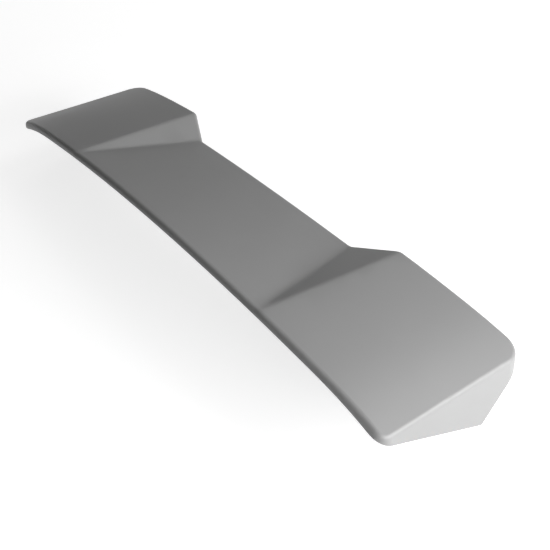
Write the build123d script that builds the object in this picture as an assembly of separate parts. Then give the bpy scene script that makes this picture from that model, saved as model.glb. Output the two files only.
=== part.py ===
"""Roof spoiler for the rear edge of a car's roof, moulded as one thin shell that is open underneath.

Millimetres. X runs across the car, +Y towards the rear and +Z up. The origin is the middle of the
leading edge, at its foot, where the spoiler meets the roof.
"""
import os
from math import sqrt

from build123d import *

# The leading edge follows the roof's crown across the car and bows forward in plan
half_width = 560.0
lip_height = 12.3
front_crown = 2675.0
front_bow = 10.4

# Over this width at each end the roof and the skin roll down further, more at the front
roll_width = 140.0
front_roll = 10.0
rear_roll = 4.0

# The wings and the low middle, as falls from the lip at wing_chord behind the leading edge
wing_chord = 306.5
wing_fall = 26.0
wing_crown = 3014.0
middle_fall = 58.0
middle_crown = 2500.0

# Each flank is a flat triangle that starts in a point on the leading edge
flank_tip = 289.4
flank_foot = 218.3
flank_head = 308.5
crease_radius = 40.0

# The trailing edge in plan: its middle lies ahead of the wings, which sweep back to their ends,
# and the foot of each flank has come this step outward where it meets the edge
middle_setback = 48.7
middle_bow_radius = 3500.0
wing_sweep = 11.0
flank_end_step = 9.4
trailing_corner_radius = 20.0
middle_chord = wing_chord - middle_setback
flank_end_foot = flank_foot + flank_end_step

# The side walls lean out at the foot and open a little towards the rear
side_lean = 0.14
side_taper = 0.032
front_corner_radius = 20.0
rear_corner_radius = 34.0

# The face under the trailing edge runs down and forward to the rear edge of the open underside,
# which ends in an apex at the foot of each side wall, farther out than the leading edge
edge_thickness = 9.3
underside_setback = 107.1
underside_drop = 96.6
apex_overhang = 21.5
apex_setback = 83.5
apex_drop = 169.5
underside_chord = wing_chord - underside_setback
apex_chord = wing_chord - apex_setback
apex_reach = half_width + apex_overhang

# The foot of each side wall is a flat seat, faced a little above the crowned underside
seat_depth = 1.2
seat_cant = 0.16

# The moulding itself
wall = 3.0
flange_width = 20.0
mouth_corner_radius = 14.0
rim_radius = 8.5
rim_land = 0.8

# How far the spaces that trim the form reach past it, and the ruled ones as a share of their width
margin = 80.0
clear = 60.0
overrun = 1.5
reach = half_width + margin

# How finely the skin is laid out, and how closely it keeps to that
middle_columns = 8
crease_columns = 20
wing_columns = 10
skin_rows = 11
ruled_columns = 16
skin_tolerance = 0.02

# The least upward share of an edge's direction that makes it a standing edge
upright = 0.9


def drop(x, radius):
    """Fall of an arc of this radius at x from its middle."""
    return radius - sqrt(radius**2 - x**2)


def roll(x, fall):
    """Further fall at x, which grows to this fall at each end."""
    return fall * max(0.0, 1 - (half_width - abs(x)) / roll_width) ** 3


def roof(x):
    """Fall of the leading edge at x from its middle."""
    return drop(x, front_crown) + roll(x, front_roll)


def skin_height(x, y, fall, crown):
    """Height on a surface that runs straight from the leading edge to this fall and crown."""
    front = lip_height - roof(x)
    rear = lip_height - fall - drop(x, crown) - roll(x, rear_roll)
    return front + (rear - front) * y / wing_chord


def wing(x, y):
    return skin_height(x, y, wing_fall, wing_crown)


def middle(x, y):
    return skin_height(x, y, middle_fall, middle_crown)


def ramp(height, blend):
    """Zero below zero and the height itself above it, rounded over the blend."""
    if abs(height) > blend:
        return max(height, 0.0)
    return (height + blend) ** 2 / (4 * blend)


def top(x, y):
    """Height of the outer skin: the middle, with the flank that rises from it to the wing."""
    x = abs(x)
    start = Vector(flank_tip, 0, wing(flank_tip, 0))
    foot = Vector(flank_foot, wing_chord, middle(flank_foot, wing_chord))
    head = Vector(flank_head, wing_chord, wing(flank_head, wing_chord))
    normal = (foot - start).cross(head - start)
    flank = start.Z - (normal.X * (x - start.X) + normal.Y * (y - start.Y)) / normal.Z
    turn = (head.Z - foot.Z) / (head.X - foot.X) + foot.X / middle_crown
    blend = crease_radius * turn**2 / 2
    low = middle(x, y)
    return low + ramp(flank - low, blend) - ramp(flank - wing(x, y), blend)


def spaced(first, last, count):
    """Evenly spaced values from the first to the last."""
    return [first + (last - first) * step / count for step in range(count + 1)]


def space_above():
    """Everything above the outer skin."""
    rows = spaced(-clear, wing_chord + clear, skin_rows)
    inner = flank_foot - crease_radius / 2
    outer = flank_head + crease_radius / 2
    half = spaced(0, inner, middle_columns)
    half += spaced(inner, outer, crease_columns)[1:]
    half += spaced(outer, reach, wing_columns)[1:]
    columns = [-x for x in reversed(half[1:])] + half
    points = [[(x, y, top(x, y)) for x in columns] for y in rows]
    skin = Face.make_surface_from_array_of_points(points, tol=skin_tolerance, min_deg=3)
    return Solid.extrude(skin, Vector(0, 0, reach))


def across(x, at_middle, at_side, side):
    """Value at x of what changes with the square of the distance from the middle."""
    return at_middle + (at_side - at_middle) * (x / side) ** 2


def lip_foot(x):
    return Vector(x, across(x, 0, front_bow, half_width), -roof(x))


def underside_rear(x):
    chord = across(x, underside_chord, apex_chord, apex_reach)
    return Vector(x, chord, -across(x, underside_drop, apex_drop + seat_depth, apex_reach))


def trailing_foot(x):
    """Lower trailing edge, where the face under it starts."""
    share = (x**2 - flank_head**2) / (half_width**2 - flank_head**2)
    chord = wing_chord + wing_sweep * share
    return Vector(x, chord, wing(x, wing_chord) - edge_thickness)


def ruled_space(start, end, direction):
    """Space beside the surface ruled between two curves across the car, drawn past both of them."""
    curves = []
    for share in (-overrun, 1 + overrun):
        points = [start(x) + (end(x) - start(x)) * share for x in spaced(-reach, reach, ruled_columns)]
        curves.append(Edge.make_spline(points))
    face = Face.make_surface_from_curves(curves[0], curves[1])
    return Solid.extrude(face, direction)


def space_below():
    """Everything below the open underside, with the flat seats at its two ends."""
    below = ruled_space(lip_foot, underside_rear, Vector(0, 0, -reach))
    for side in (-1, 1):
        corner = Vector(side * half_width, front_bow, seat_depth - roof(half_width))
        apex = Vector(side * apex_reach, apex_chord, -apex_drop)
        cant = Vector(side, 0, -seat_cant)
        normal = cant.cross(apex - corner) * -side
        seat = Plane(origin=corner, z_dir=normal)
        lower = seat * Box(reach, reach, clear, align=(Align.CENTER, Align.CENTER, Align.MIN))
        end = Pos(side * half_width, 0, 0) * Box(2 * clear, 2 * reach, 2 * reach)
        below += lower & end
    return below


def space_behind():
    """Everything behind the face under the trailing edge."""
    return ruled_space(underside_rear, trailing_foot, Vector(0, reach, 0))


def outline(inset):
    """The form in plan with its sides still square, drawn in by the inset."""
    bow_radius = (half_width**2 + front_bow**2) / (2 * front_bow)
    front = ThreePointArc((reach, drop(reach, bow_radius)), (0, 0), (-reach, drop(reach, bow_radius)))
    foot = (flank_end_foot, middle_chord + drop(flank_end_foot, middle_bow_radius))
    sweep = wing_sweep / (half_width - flank_head)
    ends = []
    for side in (-1, 1):
        head = (side * flank_head, wing_chord)
        corner = (side * reach, wing_chord + sweep * (reach - flank_head))
        ends.append(Line((side * foot[0], foot[1]), head))
        ends.append(Line(head, corner))
        ends.append(Line(corner, (side * reach, drop(reach, bow_radius))))
    rear = ThreePointArc((-foot[0], foot[1]), (0, middle_chord), foot)
    plan = make_face([front, rear] + ends)
    turns = [point for point in plan.vertices() if abs(point.X) < half_width and point.Y > wing_chord / 2]
    plan = fillet(turns, trailing_corner_radius)
    return offset(plan, -inset) if inset else plan


def standing(body, first, last):
    """The corner edges beside the side walls between two chords."""
    return [
        edge
        for edge in body.edges()
        if abs(edge.tangent_at(0.5).Z) > upright
        and abs(edge.center().X) > (flank_head + half_width) / 2
        and first < edge.center().Y < last
    ]


def form(inset, above, below, behind):
    """The spoiler as a closed body, drawn in by the inset, with its rim still sharp."""
    body = extrude(Pos(0, 0, -reach / 2) * outline(inset), amount=reach)
    for side in (-1, 1):
        outward = Vector(side, -side_taper, side_lean).normalized()
        foot = Vector(side * half_width, front_bow, -roof(half_width))
        body = split(body, Plane(origin=foot - outward * inset, z_dir=outward), keep=Keep.BOTTOM)
    body = fillet(standing(body, -clear, wing_chord / 2), front_corner_radius - inset)
    body = fillet(standing(body, wing_chord / 2, reach), rear_corner_radius - inset)
    body -= below.moved(Location(inward_below * inset))
    body -= behind.moved(Location(inward_behind * inset))
    return body - above.moved(Location(Vector(0, 0, -inset)))


def rim(body):
    """The edges all round the skin."""
    return max(body.faces(), key=lambda face: face.area * face.normal_at().Z).edges()


def mouth():
    """The open underside inside its flange, as an upright prism."""
    inset = wall + flange_width
    rear_inset = wall / rear_slope.Z + flange_width
    side_front = half_width - inset
    side_rear = apex_reach - inset
    front = [across(x, inset, front_bow + inset, half_width) for x in (0, side_front)]
    rear = [across(x, underside_chord, apex_chord, apex_reach) - rear_inset for x in (0, side_rear)]
    plan = make_face([
        ThreePointArc((-side_front, front[1]), (0, front[0]), (side_front, front[1])),
        ThreePointArc((-side_rear, rear[1]), (0, rear[0]), (side_rear, rear[1])),
        Line((side_front, front[1]), (side_rear, rear[1])),
        Line((-side_front, front[1]), (-side_rear, rear[1])),
    ])
    plan = fillet(plan.vertices(), mouth_corner_radius)
    return extrude(Pos(0, 0, -reach / 2) * plan, amount=reach)


# Inward directions, square to the underside and to the face behind it, at the middle of the car
underside_slope = (underside_rear(0) - lip_foot(0)).normalized()
inward_below = Vector(0, -underside_slope.Z, underside_slope.Y)
rear_slope = (trailing_foot(0) - underside_rear(0)).normalized()
inward_behind = Vector(0, -rear_slope.Z, rear_slope.Y)


def roof_spoiler():
    above = space_above()
    below = space_below()
    behind = space_behind()
    outside = form(0, above, below, behind)
    hollow = form(wall, above, below, behind)
    radius = min(rim_radius, edge_thickness - rim_land, lip_height - rim_land)
    outside = fillet(rim(outside), radius)
    hollow = chamfer(rim(hollow), (radius - wall) * (2 - sqrt(2)))
    opening = mouth() & below.moved(Location(inward_below * 2 * wall))
    return (outside - hollow - opening).solid()


if __name__ == "__main__":
    os.makedirs("parts", exist_ok=True)
    export_step(roof_spoiler(), "parts/roof_spoiler.step")
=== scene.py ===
"""A roof spoiler of plain grey moulded plastic on a pale studio floor.

Metres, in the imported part's own frame.
"""

from math import cos, pi, radians, sin

import bpy
from mathutils import Euler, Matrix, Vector


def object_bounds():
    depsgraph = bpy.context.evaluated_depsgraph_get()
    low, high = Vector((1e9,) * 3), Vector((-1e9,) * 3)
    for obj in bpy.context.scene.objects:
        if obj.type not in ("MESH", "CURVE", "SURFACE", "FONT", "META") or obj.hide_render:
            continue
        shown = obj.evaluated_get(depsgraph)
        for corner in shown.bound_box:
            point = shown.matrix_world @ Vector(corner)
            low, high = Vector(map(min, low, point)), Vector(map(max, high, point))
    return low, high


# The camera stands in front of the spoiler, to its right and above it
EYE = Vector((0.9584, -0.5045, 0.8008))
AZIMUTH = 50.8
ELEVATION = 41.1
LENS_MM = 50.0
SENSOR_MM = 36.0

# Plain grey moulded plastic, with the fine grain that a mould leaves
GREY = (0.3, 0.3, 0.3)
ROUGHNESS = 0.38
SPECULAR = 0.4
GRAIN_PER_METRE = 1400.0
GRAIN_DEPTH = 0.00004

# How the plastic's flow in the mould varies its shade and its gloss
FLOW_PER_METRE = 9.0
FLOW_SHADE = 0.03
FLOW_GLOSS = 0.03

# The floor lies just below the lowest points of the side walls. Its rings, given by radius and
# height, turn up into a low round backdrop
FLOOR_GAP = 0.0005
FLOOR_SIDES = 96
FLOOR_RINGS = ((0.5, 0.0), (4.0, 0.0), (8.0, 0.0), (9.0, 0.15), (9.7, 0.6), (10.0, 1.6))

# The floor's own colour, and what lifts it to white where it is seen: distance and strength
FLOOR_PALE = (0.6, 0.6, 0.6, 1.0)
WHITE = (1.0, 1.0, 1.0, 1.0)
NEAR_LIFT = (1.2, 0.76)
FAR_LIFT = (5.0, 0.95)

# The faint even light from all round
FILL = (0.04, 0.04, 0.04, 1.0)

# Soft lamps round the part: azimuth, elevation, distance, width, height and power
LAMPS = {
    "key": (0, 14, 3.0, 2.0, 1.1, 88),
    "accent": (30, 19, 3.0, 0.8, 0.8, 40),
    "rear right": (66, 50, 3.0, 1.6, 1.6, 19),
    "rear left": (150, 50, 3.0, 1.6, 1.6, 6),
}


def node(tree, kind, **values):
    """Adds a shader node and sets its properties."""
    made = tree.nodes.new(kind)
    for name, value in values.items():
        setattr(made, name, value)
    return made


def new_material(name):
    """A material with its node tree and its shader."""
    material = bpy.data.materials.new(name)
    material.use_nodes = True
    tree = material.node_tree
    return material, tree, tree.nodes["Principled BSDF"]


def noise(tree, place, per_metre):
    """Noise of this fineness over the object."""
    pattern = node(tree, "ShaderNodeTexNoise")
    pattern.inputs["Scale"].default_value = per_metre
    tree.links.new(place.outputs["Object"], pattern.inputs["Vector"])
    return pattern.outputs["Fac"]


def varied(tree, pattern, middle, spread):
    """A value that follows the pattern within this spread on both sides of its middle."""
    within = node(tree, "ShaderNodeMapRange")
    within.inputs["To Min"].default_value = middle - spread
    within.inputs["To Max"].default_value = middle + spread
    tree.links.new(pattern, within.inputs["Value"])
    return within.outputs["Result"]


def moulded_plastic():
    """Satin grey plastic: fine mould grain, and broad faint differences in shade and gloss."""
    material, tree, shader = new_material("moulded plastic")
    shader.inputs["Specular IOR Level"].default_value = SPECULAR
    place = node(tree, "ShaderNodeTexCoord")

    flow = noise(tree, place, FLOW_PER_METRE)
    colour = node(tree, "ShaderNodeVectorMath", operation="SCALE")
    colour.inputs[0].default_value = GREY
    tree.links.new(varied(tree, flow, 1, FLOW_SHADE), colour.inputs["Scale"])
    tree.links.new(colour.outputs["Vector"], shader.inputs["Base Color"])
    tree.links.new(varied(tree, flow, ROUGHNESS, FLOW_GLOSS), shader.inputs["Roughness"])

    grain = noise(tree, place, GRAIN_PER_METRE)
    bump = node(tree, "ShaderNodeBump")
    bump.inputs["Distance"].default_value = GRAIN_DEPTH
    tree.links.new(grain, bump.inputs["Height"])
    tree.links.new(bump.outputs["Normal"], shader.inputs["Normal"])
    return material


def seen(tree):
    """One for rays that the camera sees, also by gloss or through glass, and zero for the rest."""
    path = node(tree, "ShaderNodeLightPath")
    total = path.outputs["Is Camera Ray"]
    for name in ("Is Glossy Ray", "Is Transmission Ray"):
        either = node(tree, "ShaderNodeMath", operation="MAXIMUM")
        tree.links.new(total, either.inputs[0])
        tree.links.new(path.outputs[name], either.inputs[1])
        total = either.outputs["Value"]
    return total


def white_floor():
    """White where it is seen, but no brighter as a lamp, with the part's shadow kept."""
    material, tree, shader = new_material("white floor")
    shader.inputs["Base Color"].default_value = FLOOR_PALE
    shader.inputs["Roughness"].default_value = 1.0
    shader.inputs["Specular IOR Level"].default_value = 0.0
    shader.inputs["Emission Color"].default_value = WHITE
    place = node(tree, "ShaderNodeTexCoord")
    distance = node(tree, "ShaderNodeVectorMath", operation="LENGTH")
    tree.links.new(place.outputs["Object"], distance.inputs[0])
    lift = node(tree, "ShaderNodeMapRange")
    ends = ("From Min", "To Min", "From Max", "To Max")
    for name, value in zip(ends, NEAR_LIFT + FAR_LIFT):
        lift.inputs[name].default_value = value
    tree.links.new(distance.outputs["Value"], lift.inputs["Value"])
    shown = node(tree, "ShaderNodeMath", operation="MULTIPLY")
    tree.links.new(lift.outputs["Result"], shown.inputs[0])
    tree.links.new(seen(tree), shown.inputs[1])
    tree.links.new(shown.outputs["Value"], shader.inputs["Emission Strength"])
    return material


def add_object(name, data):
    """Adds an object to the scene."""
    made = bpy.data.objects.new(name, data)
    bpy.context.scene.collection.objects.link(made)
    return made


def add_floor(height):
    """The round floor at this height, with its backdrop."""
    points = [(0, 0, 0)]
    for radius, rise in FLOOR_RINGS:
        for step in range(FLOOR_SIDES):
            turn = 2 * pi * step / FLOOR_SIDES
            points.append((radius * cos(turn), radius * sin(turn), rise))
    faces = []
    for step in range(FLOOR_SIDES):
        after = (step + 1) % FLOOR_SIDES
        faces.append((0, 1 + step, 1 + after))
        for ring in range(1, len(FLOOR_RINGS)):
            outer = 1 + ring * FLOOR_SIDES
            inner = outer - FLOOR_SIDES
            faces.append((inner + step, outer + step, outer + after, inner + after))
    mesh = bpy.data.meshes.new("floor")
    mesh.from_pydata(points, [], faces)
    mesh.shade_smooth()
    mesh.materials.append(white_floor())
    floor = add_object("floor", mesh)
    floor.location.z = height


def add_lamp(name, target, azimuth, elevation, distance, width, height, power):
    """A soft lamp that faces the target from this direction."""
    light = bpy.data.lights.new(name, "AREA")
    light.shape = "RECTANGLE"
    light.size = width
    light.size_y = height
    light.energy = power
    away = Vector((distance, 0, 0))
    away.rotate(Euler((0, radians(-elevation), radians(azimuth))))
    lamp = add_object(name, light)
    lamp.location = target + away
    lamp.rotation_euler = (-away).to_track_quat("-Z", "Y").to_euler()


def add_world():
    """The light from all round."""
    world = bpy.data.worlds.new("studio")
    world.use_nodes = True
    world.node_tree.nodes["Background"].inputs["Color"].default_value = FILL
    bpy.context.scene.world = world


def add_camera():
    """The camera, which looks straight down before it is turned."""
    view = bpy.data.cameras.new("camera")
    view.lens = LENS_MM
    view.sensor_width = SENSOR_MM
    camera = add_object("camera", view)
    camera.location = EYE
    camera.rotation_euler = (radians(90 - ELEVATION), 0, radians(AZIMUTH))
    bpy.context.scene.camera = camera


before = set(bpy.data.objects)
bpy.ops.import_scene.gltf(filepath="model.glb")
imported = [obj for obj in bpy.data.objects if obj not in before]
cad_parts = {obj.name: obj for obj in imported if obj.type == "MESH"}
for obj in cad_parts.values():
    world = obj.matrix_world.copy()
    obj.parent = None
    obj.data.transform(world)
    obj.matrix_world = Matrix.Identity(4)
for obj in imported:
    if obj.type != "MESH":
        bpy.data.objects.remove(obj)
packed_low, packed_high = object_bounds()
middle = (packed_low + packed_high) / 2

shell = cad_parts["roof_spoiler"]
shell.data.materials.clear()
shell.data.materials.append(moulded_plastic())

add_floor(packed_low.z - FLOOR_GAP)
for name, values in LAMPS.items():
    add_lamp(name, middle, *values)
add_world()
add_camera()

bpy.context.scene.view_settings.view_transform = "Standard"
